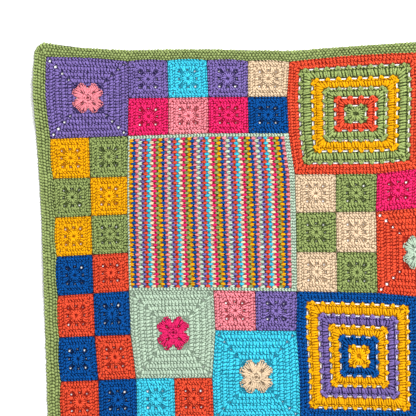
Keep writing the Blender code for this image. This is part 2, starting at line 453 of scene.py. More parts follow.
def stitchTree():
    tree = bpy.data.node_groups.new("setStitches", "GeometryNodeTree")
    inputs = (("Geometry", "Geometry"), ("Strand", "Object"), ("Looseness", "Float"), ("Turn", "Float"),
              ("Seed", "Int"), ("Material", "Material"))
    for label, kind in inputs:
        tree.interface.new_socket(label, in_out="INPUT", socket_type="NodeSocket" + kind)
    tree.interface.new_socket("Geometry", in_out="OUTPUT", socket_type="NodeSocketGeometry")
    nodes = Tree(tree)

    def vectorOf(label):
        named = nodes.add("GeometryNodeInputNamedAttribute", {"data_type": "FLOAT_VECTOR"}, Name=label)
        return named.outputs[0]

    start = nodes.add("NodeGroupInput").outputs
    strand = nodes.add("GeometryNodeObjectInfo", Object=start["Strand"])
    twist = nodes.add("FunctionNodeRandomValue", {"data_type": "FLOAT"}, Seed=start["Seed"])
    swing = (Value(twist.outputs["Value"]) - 0.5) * Value(start["Turn"])
    swingTurn = nodes.add("ShaderNodeCombineXYZ", Z=swing)
    facing = nodes.add("ShaderNodeVectorMath", {"operation": "ADD"},
                       i0=vectorOf("turn"), i1=swingTurn.outputs[0])
    rotation = nodes.add("FunctionNodeEulerToRotation", i0=facing.outputs[0])
    slack = nodes.add("FunctionNodeRandomValue", {"data_type": "FLOAT"}, Seed=start["Seed"])
    fullness = (Value(slack.outputs["Value"]) - 0.5) * Value(start["Looseness"]) + 1.0
    scaled = nodes.add("ShaderNodeVectorMath", {"operation": "SCALE"}, i0=vectorOf("size"), Scale=fullness)
    placed = nodes.add("GeometryNodeInstanceOnPoints",
                       Points=start["Geometry"], Instance=strand.outputs["Geometry"],
                       Rotation=rotation.outputs[0], Scale=scaled.outputs[0])
    realized = nodes.add("GeometryNodeRealizeInstances", Geometry=placed.outputs[0])
    dressed = nodes.add("GeometryNodeSetMaterial", Geometry=realized.outputs[0], Material=start["Material"])
    finish = nodes.add("NodeGroupOutput")
    nodes.feed(finish.inputs[0], dressed.outputs[0])
    return tree


setStitches = stitchTree()
unevenness = {
    "place": 0.3,               # how far the stitches wander on the flat, and in height
    "height": 0.15,
    "tone": (0.84, 1.12),
    "paintedSeamShade": 0.09,           # painted shade: how much darker they are at a seam, and how near it
    "seamReach": 3.0,
    "looseness": 0.24,          # spread of their size and of their direction
    "turn": 0.3,
    "cornerPull": 2.2,          # how far a square's corners are drawn in
}


def yarnTint(yarnName, tone):
    # the yarn's colour as light, times a tone; how strong its painted shade is goes in the alpha
    light = [c / 12.92 if c < 0.04045 else ((c + 0.055) / 1.055) ** 2.4 for c in yarnColours[yarnName]]
    return [channel * tone for channel in light] + [yarnPaintedShade.get(yarnName, 1.0)]


class Stitches:
    # the stitches of one piece, each given by its place, direction and size on the flat pattern
    def __init__(self, col, row, span=0):
        self.middle = (col * unit, -row * unit)
        self.half = span * unit / 2
        self.points, self.turns, self.sizes, self.tints = [], [], [], []

    def put(self, x, y, height, angle, length, width, thick, yarnName, tone=1.0):
        self.points.append((self.middle[0] + x, self.middle[1] + y, height))
        self.turns.append((0.0, 0.0, math.radians(angle)))
        self.sizes.append((length, width, thick))
        self.tints.append(yarnTint(yarnName, tone))

    def span(self, start, end, height, width, thick, yarnName, tone=1.0):
        # a stitch from one place to another
        dx, dy = end[0] - start[0], end[1] - start[1]
        angle = math.degrees(math.atan2(dy, dx))
        self.put((start[0] + end[0]) / 2, (start[1] + end[1]) / 2, height, angle, math.hypot(dx, dy), width,
                 thick, yarnName, tone)

    def holder(self, name):
        # a mesh of points that carries the stitches' turns, sizes and tints
        loose = unevenness
        count = len(self.points)
        rng = np.random.default_rng(sum(map(ord, name)))
        points = np.array(self.points)
        points[:, :2] += rng.normal(0, loose["place"], (count, 2))
        points[:, 2] += rng.normal(0, loose["height"], count)
        tints = np.array(self.tints)
        tints[:, :3] *= rng.uniform(*loose["tone"], (count, 1))
        if self.half:
            # painted shade where squares meet at a seam
            fromSeam = self.half - abs(points[:, :2] - self.middle).max(axis=1)
            tints[:, :3] *= 1 - loose["paintedSeamShade"] * np.exp(-(fromSeam[:, None] / loose["seamReach"]) ** 2)
        mesh = bpy.data.meshes.new(name)
        mesh.vertices.add(count)
        mesh.vertices.foreach_set("co", points.ravel())
        for label, kind, field, values in (("turn", "FLOAT_VECTOR", "vector", self.turns),
                                           ("size", "FLOAT_VECTOR", "vector", self.sizes),
                                           ("yarnTint", "FLOAT_COLOR", "color", tints)):
            attribute = mesh.attributes.new(label, kind, "POINT")
            attribute.data.foreach_set(field, np.array(values, dtype=np.float32).ravel())
        item = bpy.data.objects.new(name + "Points", mesh)
        bpy.context.scene.collection.objects.link(item)
        return item

    def finished(self, name):
        holder = self.holder(name)
        modifier = holder.modifiers.new("setStitches", "NODES")
        modifier.node_group = setStitches
        values = {"Strand": strandObject, "Looseness": unevenness["looseness"], "Turn": unevenness["turn"],
                  "Seed": sum(map(ord, name)), "Material": yarn}
        for socket in setStitches.interface.items_tree:
            if socket.in_out == "INPUT" and socket.name in values:
                modifier[socket.identifier] = values[socket.name]
        holder.update_tag()
        graph = bpy.context.evaluated_depsgraph_get()
        graph.update()
        made = bpy.data.meshes.new_from_object(holder.evaluated_get(graph), depsgraph=graph)
        bpy.data.objects.remove(holder)
        flat = np.empty(len(made.vertices) * 3, dtype=np.float32)
        made.vertices.foreach_get("co", flat)
        flat = flat.reshape(-1, 3).astype(float)
        if self.half:
            away = flat[:, :2] - self.middle
            nearCorner = np.clip(abs(away).prod(axis=1) / self.half ** 2, 0, 1.1) ** (self.half / 4)
            flat[:, :2] -= np.sign(away) * nearCorner[:, None] * unevenness["cornerPull"]
        made.vertices.foreach_set("co", layOnThrow(flat).ravel())
        made.update()
        for label in ("turn", "size"):
            if label in made.attributes:
                made.attributes.remove(made.attributes[label])
        item = bpy.data.objects.new(name, made)
        bpy.context.scene.collection.objects.link(item)
        return item


# Rounds of stitches, worked round a square's centre

def turned(x, y, side):
    for _ in range(side):
        x, y = -y, x
    return x, y


def around(angle, far):
    return math.cos(math.radians(angle)) * far, math.sin(math.radians(angle)) * far


def loopAround(stitches, angle, loop, yarnName, tone=1.0):
    # a loop that lies round a centre, given by its place outward, height, turn, length, width and thickness
    far, height, turn, length, width, thick = loop
    stitches.put(*around(angle, far), height, angle + turn, length, width, thick, yarnName, tone=tone)


clothLook = {
    "stitchPitch": 6.1,
    "postHeight": 2.3, "postWidth": 2.7, "postThick": 3.0,
    "foot": 0.6,                  # how far a post reaches in under the round before
    "head": 2.0,                  # and how far short of the edge its head ends
    "footSpread": 0.55,           # a stitch's two post strands open from this half distance
    "headSpread": 1.55,           # to this one
    "lean": -1.6,
    "cornerLean": 0.6,            # share of that lean which is lost near a corner
    "loopHeight": 3.1,
    "topLoop": (6.0, 2.9, -30),   # length, width and turn of the loop across a stitch's top
    "loopThick": 3.2,
    "loopInset": 1.2,
    "fanPower": 5,                # how suddenly the stitches fan out near a corner
    "fan": (0.4, 0.24, 0.4),      # how far their foot, head and loop shift, as shares of the round's depth
    "cornerSpace": 4.2,           # from a corner's diagonal to the loops beside it
    "cornerLeaf": (2.5, 6.4, 2.6, 3.0),     # height, length, width and thickness of an open corner's strand
    # a filled corner's posts and loops, in shares of the round's depth: where the posts end, the middle and
    # spread of their feet, and the place and turn of each loop
    "cornerPosts": ((0.9, 0.1), (0.85, 0.5), (0.5, 0.85), (0.1, 0.9)),
    "cornerFeet": (0.27, 0.2),
    "cornerLoops": ((0.84, 0.3, 60), (0.3, 0.84, -30), (0.77, 0.77, 135)),
    "cornerLoop": (5.6, 3.0, 3.0),
    "chainPitch": 5.6,
    "chain": (2.8, 24, 0.98, 3.0, 3.2),     # height, turn, share of the pitch, width and thickness
}


def solidRound(stitches, inner, outer, yarnName, gap, filled=False):
    # one round of close stitches: posts in pairs that open outward, and a loop across the top of each
    look = clothLook
    middle = (inner + outer) / 2
    deep = outer - inner
    length, width, turn = look["topLoop"]
    reach = middle - gap
    count = max(2, round(2 * reach / look["stitchPitch"]))
    pitch = 2 * reach / count
    grow = pitch / look["stitchPitch"]
    inmost = middle - look["cornerSpace"]
    for side in range(4):
        for k in range(count):
            t = -reach + (k + 0.5) * pitch
            bend = abs(t / middle) ** look["fanPower"]
            footFan, headFan, loopFan = [math.copysign(share * deep * bend, t) for share in look["fan"]]
            lean = look["lean"] * (1 - look["cornerLean"] * bend)
            for strand in (-grow, grow):
                foot = turned(t - footFan - lean + strand * look["footSpread"], inner - look["foot"], side)
                head = turned(t + headFan + lean + strand * look["headSpread"], outer - look["head"], side)
                stitches.span(foot, head, look["postHeight"], look["postWidth"] * grow, look["postThick"],
                              yarnName)
            across = min(max(t + loopFan, -inmost), inmost)
            x, y = turned(across, outer - look["loopInset"], side)
            stitches.put(x, y, look["loopHeight"], side * 90 + turn, length * grow, width, look["loopThick"],
                         yarnName)
    for side in range(4):
        if not filled:
            away = middle + look["cornerSpace"]
            height, length, width, thick = look["cornerLeaf"]
            stitches.put(*turned(away, away, side), height, side * 90 + 135, length, width, thick, yarnName)
            continue
        start, spread = look["cornerFeet"]
        for far, near in look["cornerPosts"]:
            apart = spread * (far - near)
            foot = turned(inner + deep * (start + apart), inner + deep * (start - apart), side)
            head = turned(inner + deep * far, inner + deep * near, side)
            stitches.span(foot, head, look["postHeight"], look["cornerLoop"][1], look["postThick"], yarnName)
        for across, along, swing in look["cornerLoops"]:
            x, y = turned(inner + deep * across, inner + deep * along, side)
            stitches.put(x, y, look["loopHeight"], side * 90 + swing, *look["cornerLoop"], yarnName)


def chainRound(stitches, half, yarnName):
    # a round of chain loops that lie along the edge
    height, turn, share, width, thick = clothLook["chain"]
    count = round(2 * half / clothLook["chainPitch"])
    pitch = 2 * half / count
    for side in range(4):
        for k in range(count):
            x, y = turned(-half + (k + 0.5) * pitch, half, side)
            stitches.put(x, y, height, side * 90 + turn, pitch * share, width, thick, yarnName)


# The ground: thin cloth between and behind the stitches, with the holes cut through, coloured as painted
# shade

groundParts = []
groundLook = {
    "low": 0.5, "high": 2.1,      # underside and top
    "seam": 0.2,                  # the gap that each island leaves at its edge
    # painted shade: the ground is darker than its yarn and its painted shade is strong
    "tone": 0.7, "depth": 1.0,
}


def linesRound(edges, inner):
    return sorted(set([round(value, 4) for value in edges] + [round(value, 4) for value in inner]))


def groundNet(col, row, xs, ys, isHole, yarnAt):
    # one island of ground over a net of lines, in millimetres from the island's centre
    xs, ys = np.array(xs), np.array(ys)
    midX, midY = (xs[1:] + xs[:-1]) / 2, (ys[1:] + ys[:-1]) / 2
    kept = [(i, j) for i in range(len(midX)) for j in range(len(midY)) if not isHole(midX[i], midY[j])]
    keptSet = set(kept)
    index, points, faces, tints = {}, [], [], []

    def corner(i, j, level):
        key = (i, j, level)
        if key not in index:
            index[key] = len(points)
            height = groundLook["high"] if level else groundLook["low"]
            points.append((col * unit + xs[i], -row * unit + ys[j], height))
        return index[key]

    for i, j in kept:
        # the ground's colour is painted shade between the stitches
        tint = yarnTint(yarnAt(midX[i], midY[j]), groundLook["tone"])
        tint[3] = (tint[3] + groundLook["depth"]) / 2
        ring = ((i, j), (i + 1, j), (i + 1, j + 1), (i, j + 1))
        faces.append([corner(a, b, 1) for a, b in ring])
        faces.append([corner(a, b, 0) for a, b in reversed(ring)])
        tints += [tint] * 8
        for k, (di, dj) in enumerate(((0, -1), (1, 0), (0, 1), (-1, 0))):
            if (i + di, j + dj) not in keptSet:
                (a, b), (c, d) = ring[k], ring[(k + 1) % 4]
                faces.append([corner(a, b, 0), corner(c, d, 0), corner(c, d, 1), corner(a, b, 1)])
                tints += [tint] * 4
    groundParts.append((points, faces, tints))


def finishedGround():
    points, faces, tints = [], [], []
    for part, partFaces, partTints in groundParts:
        start = len(points)
        points += part
        faces += [[start + k for k in face] for face in partFaces]
        tints += partTints
    mesh = bpy.data.meshes.new("groundCloth")
    mesh.from_pydata(layOnThrow(np.array(points)).tolist(), [], faces)
    colours = mesh.attributes.new("yarnTint", "FLOAT_COLOR", "CORNER")
    colours.data.foreach_set("color", np.array(tints, dtype=np.float32).ravel())
    layer = mesh.uv_layers.new(name="strand")
    # a strand place at a stitch's end and underside, so the ground takes the painted shade
    layer.uv.foreach_set("vector", np.tile(np.float32([0.0, 0.75]), len(mesh.loops)))
    mesh.materials.append(yarn)
    item = bpy.data.objects.new("groundCloth", mesh)
    bpy.context.scene.collection.objects.link(item)
    return item


def aroundHoles(holes):
    # net lines that frame each hole, and the test for what lies in a hole
    xs, ys = [], []
    for x, y, halfX, halfY in holes:
        xs += [x - halfX, x + halfX]
        ys += [y - halfY, y + halfY]

    def isHole(px, py):
        return any(abs(px - x) < halfX and abs(py - y) < halfY for x, y, halfX, halfY in holes)

    return xs, ys, isHole


def islandOf(col, row, span, holes, yarnAt, extra=()):
    half = span * unit / 2 - groundLook["seam"]
    seams = [(k - span / 2) * unit for k in range(1, span)]
    xs, ys, isHole = aroundHoles(holes)
    groundNet(col + span / 2, row + span / 2, linesRound((-half, half), xs + seams + list(extra)),
              linesRound((-half, half), ys + seams + list(extra)), isHole, yarnAt)


quarters = [(sx, sy) for sx in (-1, 1) for sy in (-1, 1)]


def sideHoles(at, along, across):
    # four holes on the axes, by their place and their half size along and across the axis
    return [(s * at, 0, along, across) for s in (-1, 1)] + [(0, s * at, across, along) for s in (-1, 1)]


# Small granny squares

smallSquare = {
    "ring": (1.7, 13.0),              # reach of the sixteen posts round the centre
    "ringTwist": (-4, 3),             # turn of their feet and heads, in degrees
    "ringPost": (2.4, 2.9, 3.6),      # height, width and thickness
    "spokes": (13.0, 24.0),           # reach of the pairs of posts between the eight holes
    "spokePair": (5.0, 3.0),          # half the angle between the two, and the turn of their feet
    "spokePost": (2.6, 2.9, 3.4),
    # loops inside a hole, over a spoke, and outside a side's and a corner's hole
    "holeLoop": (12.4, 2.9, 90, 5.4, 2.2, 2.6),
    "spokeLoop": (13.0, 3.2, 90, 5.0, 2.4, 2.6),
    "outerLoops": ((20.2, 2.7, 90, 7.0, 2.5, 2.8), (27.5, 2.7, 90, 8.0, 2.5, 2.8)),
    "rounds": (18.4, 28.0, 36.8),
    "roundGap": 3.2,                  # from a round's diagonal to its first stitch
    "cornerHole": (14.8, -0.6, 1.7),  # place along each axis, shift along both, and half size
    "openShare": (0.5, 1.15),         # each hole is drawn open by a share of that size between these
    "sideHole": (16.8, 1.1, 0.99),
    "outerHole": (-28.0, -28.0, 0.9, 0.9),
}


def makeSmall(name, row, col, yarnName):
    look = smallSquare
    stitches = Stitches(col + 0.5, row + 0.5, 1)
    for k in range(16):
        angle = 22.5 * k + 11.25
        foot, head = [around(angle + twist, far) for twist, far in zip(look["ringTwist"], look["ring"])]
        stitches.span(foot, head, *look["ringPost"], yarnName)
    near, far = look["spokes"]
    pair, twist = look["spokePair"]
    for k in range(8):
        hole, spoke = 45 * k, 45 * k + 22.5
        for shift in (-pair, pair):
            foot, head = around(spoke + shift - twist, near), around(spoke + shift, far)
            stitches.span(foot, head, *look["spokePost"], yarnName)
        loopAround(stitches, hole, look["holeLoop"], yarnName)
        loopAround(stitches, spoke, look["spokeLoop"], yarnName)
        loopAround(stitches, hole, look["outerLoops"][k % 2], yarnName)
    for inner, outer in zip(look["rounds"], look["rounds"][1:]):
        solidRound(stitches, inner, outer, yarnName, look["roundGap"], filled=True)
    away, shift, half = look["cornerHole"]
    corners = [(sx * away + shift, sy * away + shift) for sx, sy in quarters]
    shares = np.random.default_rng(columns * row + col).uniform(*look["openShare"], len(corners))
    holes = [(x, y, half * share, half * share) for (x, y), share in zip(corners, shares)]
    holes += sideHoles(*look["sideHole"]) + [look["outerHole"]]
    islandOf(col, row, 1, holes, lambda x, y: yarnName)
    return stitches.finished(name)


# Flower squares

flowerSquare = {
    # start and reach of a petal's strands, from its middle outward
    "petal": ((17.5, 28.4), (15.5, 29.4), (6.0, 31.2), (8.0, 31.4), (5.0, 30.2), (7.0, 27.4), (4.5, 19.6)),
    "petalStep": 6.8,                 # degrees between them
    "petalStrand": (3.4, 2.6, 3.2),   # height, width and thickness
    "petalTone": 0.88,
    "petalTones": {"magenta": 0.76, "peach": 0.84},     # where a yarn's petals have their own
    "tipLoop": (-1.6, 3.8, 90, 3.8, 2.4, 2.4),          # placed from the strand's end, on the first five
    "tips": 5,
    "waistLoop": (18.5, 4.1, 55, 4.2, 2.0, 2.2),        # on the strands that start near the centre
    "innerStart": 10,
    "innerPetal": (3.0, 12.0, 3.5, 3.4, 3.2),           # start, reach, height, width and thickness
    "centreLoops": ((3.7, 4.0, 80, 4.4, 3.4, 2.4), (8.0, 4.2, 70, 7.4, 4.4, 2.4)),
    # posts of the ground yarn: angle from a petal's middle, start and reach; and between the petals
    "petalPosts": ((-12, 27, 32.5), (-4, 34, 36.5), (4, 34, 36.5), (12, 27, 32.5)),
    "petalPost": (2.1, 3.0, 3.2),
    "gapPosts": (-10, -6, -2, 2, 6, 10),
    "gapReach": (21.0, 29.0),
    "gapFoot": (0.7, 0.5),            # share by which their feet lie closer, and rise to the sides
    "gapLean": 0.8,
    "gapPost": (2.0, 3.0, 3.0),
    "rounds": (28.5, 39.5, 50.5, 61.5, 71.6),
    "roundGap": 2.6,
    "chain": 72.9,
    "holes": ((33.8, 1.4), (45.0, 1.9), (57.0, 2.4), (67.4, 2.2)),   # place along each axis and half size
    # by row and column of a square, how far the holes to its lower left, upper left, lower right and upper
    # right are drawn tight
    "tight": {(0, 0): (1, 1, 0.9, 0.55), (6, 2): (0.45, 0.45, 0.45, 0.45), (7, 4): (0.45, 0.5, 0.6, 0.5)},
    "sideHole": (19.6, 1.9, 1.8),
    "innerHole": (10.6, 0.9),
    "petalGround": (25, 18, 0.2),     # reach of the petals' yarn, also near the axes, and what counts as near
}


def makeFlower(name, row, col, yarnNames):
    ground, petal = yarnNames
    look = flowerSquare
    tone = look["petalTones"].get(petal, look["petalTone"])
    stitches = Stitches(col + 1, row + 1, 2)
    tip, *tipLoop = look["tipLoop"]
    start, reach, *innerPetal = look["innerPetal"]
    low, high = look["gapReach"]
    closer, rise = look["gapFoot"]
    lean = look["gapLean"]
    for side in range(4):
        middle = 45 + 90 * side
        for k, (strandStart, strandReach) in enumerate(look["petal"]):
            for sign in ((-1, 1) if k else (1,)):
                angle = middle + sign * k * look["petalStep"]
                foot, head = around(angle, strandStart), around(angle, strandReach)
                stitches.span(foot, head, *look["petalStrand"], petal, tone=tone)
                if k < look["tips"]:
                    loopAround(stitches, angle, (strandReach + tip, *tipLoop), petal, tone)
                if strandStart < look["innerStart"]:
                    loopAround(stitches, angle, look["waistLoop"], petal)
        stitches.span(around(middle, start), around(middle, reach), *innerPetal, petal)
        for offset, near, far in look["petalPosts"]:
            foot, head = around(middle + offset, near), around(middle + offset, far)
            stitches.span(foot, head, *look["petalPost"], ground)
        for t in look["gapPosts"]:
            foot = turned(t * closer - lean, low + abs(t) * rise, side)
            stitches.span(foot, turned(t + lean, high, side), *look["gapPost"], ground)
    for k in range(8):
        for loop in look["centreLoops"]:
            loopAround(stitches, 45 * k + 22.5, loop, petal, tone)
    for inner, outer in zip(look["rounds"], look["rounds"][1:]):
        solidRound(stitches, inner, outer, ground, look["roundGap"])
    chainRound(stitches, look["chain"], ground)
    tightness = look["tight"].get((row, col), (1, 1, 1, 1))
    holes = [(sx * at, sy * at, half * tight, half * tight)
             for (sx, sy), tight in zip(quarters, tightness) for at, half in look["holes"]]
    at, half = look["innerHole"]
    holes += sideHoles(*look["sideHole"]) + [(sx * at, sy * at, half, half) for sx, sy in quarters]
    far, between, axis = look["petalGround"]

    def yarnAt(x, y):
        nearAxis = min(abs(x), abs(y)) < axis * max(abs(x), abs(y))
        return petal if math.hypot(x, y) < (between if nearAxis else far) else ground

    islandOf(col, row, 2, holes, yarnAt, (-far, far))
    return stitches.finished(name)


# Big granny squares

grannySquare = {
    "ring": (2.8, 16.0),              # reach of the sixteen posts round the centre
    "ringTurn": (6, 5),               # where the first stands, and the turn of each head, in degrees
    "ringPost": (2.4, 3.9, 3.6),      # height, width and thickness
    "ringLoops": ((14.6, 3.4, 70, 5.2, 2.2, 2.6), (8.6, 3.5, 60, 3.2, 1.8, 2.2)),
    "edges": (17.0, 33.6, 52.0, 71.0, 92.4),          # outer edge of each round of clusters
    "plainRounds": (94.6, 103.8, 112.3),              # two solid rounds outside them
    "roundGap": 3.0,
    "pitch": 18.2,                                    # clusters along a side
    "cornerSpace": 7.0,                               # from a corner's middle to the clusters beside it
    "cornerSkew": 8.0,                                # lean of those clusters, out toward the corner
    "cornerPost": (3.2, 2.6, 45, 9.0, 3.4, 3.4),      # place outward, height, turn, length, width, thickness
    "cornerLoop": (-0.5, 2.9, 135, 6.0, 2.6, 3.0),
    "slotLength": 4.6, "slotWidth": 1.5,              # halves of the slots between rounds
    # strands between two clusters: half their lean, how far short of the edge they end, height, width,
    # thickness and tone
    "between": (1.0, 0.6, 2.1, 3.4, 3.0, 0.88),
    "spike": {                                        # three strands that reach over a round's edge
        "spread": (4.0, 0.5),                         # at foot and head
        "reach": (-4.0, 3.6),                         # of feet and heads from the edge
        "size": (3.3, 2.8, 3.2),                      # height, width and thickness
        "middle": (-1.5, 1.0, 0.4),                   # shift of the middle one's foot, head and height
    },
    "tones": {"yellow": 0.91, "purple": 0.84, "green": 1.2, "navy": 0.92},
}

cluster = {
    "fullYarns": ("yellow", "turquoise", "magenta"),  # yarns whose clusters swell
    # spread of the three posts at foot and head, how much lower the middle one starts and how much higher it
    # lies, the width of the strands, and how far the outer loops lie in
    "plain": {"spread": (5.6, 6.0), "belly": (0, 0), "width": 2.7, "sink": 0},
    "full": {"spread": (4.4, 5.5), "belly": (1.3, 0.5), "width": 2.97, "sink": 0.7},
    "lean": -1.3,
    "skewShares": (0.5, 0.45, 0.5),   # how much of a corner cluster's lean its feet, heads and loops take
    "strands": (0.4, 0.8),            # half distance of a post's two strands at foot and head
    "reach": (-0.1, -2.6),            # where they start and end, from the round's edges
    "post": (2.6, 4.0),               # height and thickness
    # share of the way out, height, turn, length, width and thickness of the wraps
    "waist": (0.45, 4.2, 140, 4.6, 1.9, 2.4),
    "top": (-1.8, 3.9, -24, 6.0, 2.8, 3.0),           # the loops across the heads, placed from the edge
    "topFan": -12,                    # their turn from one to the next
}


def grannyCluster(stitches, t, inner, outer, side, yarnName, skew):
    # three posts, each of two strands that open outward, with loops across the top and wraps round the waist
    look = cluster
    shape = look["full" if yarnName in look["fullYarns"] else "plain"]
    tone = grannySquare["tones"].get(yarnName, 1)
    foot, head = shape["spread"]
    footSkew, headSkew, topSkew = [share * skew for share in look["skewShares"]]
    start, end = inner + look["reach"][0], outer + look["reach"][1]
    height, thick = look["post"]
    wrapShare, wrapHeight, wrapTurn, *wrap = look["waist"]
    topPlace, topHeight, topTurn, *top = look["top"]
    for k in (-1, 0, 1):
        lower, higher = (0, 0) if k else shape["belly"]
        low = t + k * foot - footSkew - look["lean"]
        high = t + k * head + headSkew + look["lean"]
        for strand in (-1, 1):
            footAt, headAt = low + strand * look["strands"][0], high + strand * look["strands"][1]
            stitches.span(turned(footAt, start - lower, side), turned(headAt, end, side),
                          height + higher, shape["width"], thick, yarnName, tone=tone)
        x, y = turned(t + k * (foot + head) / 2, inner + (outer - inner) * wrapShare, side)
        stitches.put(x, y, wrapHeight, side * 90 + wrapTurn, *wrap, yarnName, tone=tone)
        x, y = turned(t + k * head + topSkew, outer + topPlace - shape["sink"] * abs(k), side)
        stitches.put(x, y, topHeight, side * 90 + topTurn + k * look["topFan"], *top, yarnName, tone=tone)


def spike(stitches, t, edge, side, yarnName):
    look = grannySquare["spike"]
    height, width, thick = look["size"]
    for strand in (-1, 0, 1):
        lower, further, higher = (0, 0, 0) if strand else look["middle"]
        (footX, headX), (footY, headY) = look["spread"], look["reach"]
        foot = turned(t + strand * footX, edge + footY + lower, side)
        head = turned(t + strand * headX, edge + headY + further, side)
        stitches.span(foot, head, height + higher, width, thick, yarnName)


def makeGranny(name, row, col, yarnNames):
    look = grannySquare
    edges = look["edges"]
    order = yarnNames[::-1]            # from the centre outward, the last for the solid rounds
    stitches = Stitches(col + 1.5, row + 1.5, 3)
    first, on = look["ringTurn"]
    near, far = look["ring"]
    for k in range(16):
        angle = 22.5 * k + first
        stitches.span(around(angle, near), around(angle + on, far), *look["ringPost"], order[0])
        for loop in look["ringLoops"]:
            loopAround(stitches, angle, loop, order[0])
    steps = [look["pitch"]]
    lean, short, height, width, thick, tone = look["between"]
    for level in range(1, len(edges)):
        inner, outer = edges[level - 1] + look["slotWidth"], edges[level] - look["slotWidth"]
        middle = (inner + outer) / 2
        step = (middle - look["cornerSpace"]) / level
        steps.append(step)
        for side in range(4):
            for j in range(-level, level + 1):
                skew = math.copysign(look["cornerSkew"], j) if abs(j) == level else 0.0
                grannyCluster(stitches, j * step, inner, outer, side, order[level], skew)
            for start, strand in ((middle, look["cornerPost"]), (outer, look["cornerLoop"])):
                place, up, turn, *size = strand
                x, y = turned(start + place, start + place, side)
                stitches.put(x, y, up, side * 90 + turn, *size, order[level])
            for j in range(-level, level):
                t = (j + 0.5) * step
                foot, head = turned(t + lean, inner, side), turned(t - lean, outer - short, side)
                stitches.span(foot, head, height, width, thick, order[level], tone=tone)
    for level, (edge, step) in enumerate(zip(edges, steps)):
        for side in range(4):
            for j in range(-level - 1, level + 1):
                spike(stitches, (j + 0.5) * step, edge, side, order[level])
    plain = look["plainRounds"]
    for inner, outer in zip(plain, plain[1:]):
        solidRound(stitches, inner, outer, order[-1], look["roundGap"], filled=True)
    long, wide = look["slotLength"], look["slotWidth"]
    holes = []
    for level, edge in enumerate(edges):
        for j in range(-level, level + 1):
            for sign in (-1, 1):
                holes.append((j * look["pitch"], sign * edge, long, wide))
                holes.append((sign * edge, j * look["pitch"], wide, long))
    rings = [edge + wide for edge in edges]

    def yarnAt(x, y):
        distance = max(abs(x), abs(y))
        return order[sum(distance > ring for ring in rings)]

    islandOf(col, row, 3, holes, yarnAt)
    return stitches.finished(name)


# Striped panel

stripedPanel = {
    "stripes": 53,
    "left": 3.4, "right": 10.0, "ends": 6.0,    # width of the plain edging
    # side, place in from the edge and turn of each chain of the edging
    "chains": (
        (3, 2.2, -40), (3, 5.2, 40), (3, 8.1, -40), (1, 1.9, -40),
        (0, 1.9, -40), (0, 4.5, 40), (2, 1.9, -40), (2, 4.5, 40),
    ),
    "stitchPitch": 9.6,
    "phases": (0.75, 0.25),                     # of the stitches in every other stripe
    # half the distance between a stitch's two halves, their height, turn, length, width and thickness
    "leaf": (1.05, 2.6, 6, 10.0, 2.7, 3.2),
    "chain": (2.8, 3.0, 3.0),                   # height, width and thickness
    "pale": ("mint", "peach"), "paleTone": 1.08, "tone": 0.9,
}


def makeStripes(name, row, col, yarnNames):
    look = stripedPanel
    half = 2 * unit
    stitches = Stitches(col + 2, row + 2)
    start, tall = -half + look["left"], half - look["ends"]
    pitch = (half - look["right"] - start) / look["stripes"]
    count = round(2 * tall / look["stitchPitch"])
    step = 2 * tall / count
    apart, height, turn, *leaf = look["leaf"]
    for stripe in range(look["stripes"]):
        x = start + (stripe + 0.5) * pitch
        colour = stripeOrder[stripe % len(stripeOrder)]
        tone = look["paleTone"] if colour in look["pale"] else look["tone"]
        for k in range(count):
            y = -tall + (k + look["phases"][stripe % 2]) * step
            for strand in (-1, 1):
                stitches.put(x, y + strand * apart, height, strand * turn, *leaf, colour, tone=tone)
    chained = round(2 * half / clothLook["chainPitch"])
    long = 2 * half / chained
    height, width, thick = look["chain"]
    for side, inward, turn in look["chains"]:
        for k in range(chained):
            x, y = turned(-half + (k + 0.5) * 2 * half / chained, half - inward, side)
            stitches.put(x, y, height, side * 90 + turn, long, width, thick, yarnNames[0],
                         tone=look["paleTone"])
    bands = [start + k * pitch for k in range(look["stripes"] + 1)]

    def yarnAt(x, y):
        if x < bands[0] or x > bands[-1] or abs(y) > tall:
            return yarnNames[0]
        return stripeOrder[int((x - start) / pitch) % len(stripeOrder)]

    ends = (groundLook["seam"] - half, half - groundLook["seam"])
    xs = linesRound(ends, bands + [-unit, 0, unit])
    ys = linesRound(ends, [-tall, tall, -unit, 0, unit])
    groundNet(col + 2, row + 2, xs, ys, lambda x, y: False, yarnAt)
    return stitches.finished(name)


# Border

borderLook = {
    "pitch": 5.7,
    "yarn": "edging",
    "thick": 3.2,
    "cloth": (0.5, 0.97),   # shares of the way out where the ground has its lines
    # share of the way out, height, turn, length and width of each row's stitches, tone, which paints light
    # and shade row by row, and phase
    "rows": (
        (0.06, 3.0, 22, 6.2, 2.8, 1.13, 0.5),
        (0.27, 2.5, -60, 7.2, 4.9, 0.98, 0.0),
        (0.51, 2.7, 60, 7.6, 5.0, 1.01, 0.5),
        (0.74, 2.5, -52, 7.2, 4.9, 0.95, 0.0),
        (0.90, 2.9, 66, 6.8, 4.9, 1.04, 0.5),
    ),
}


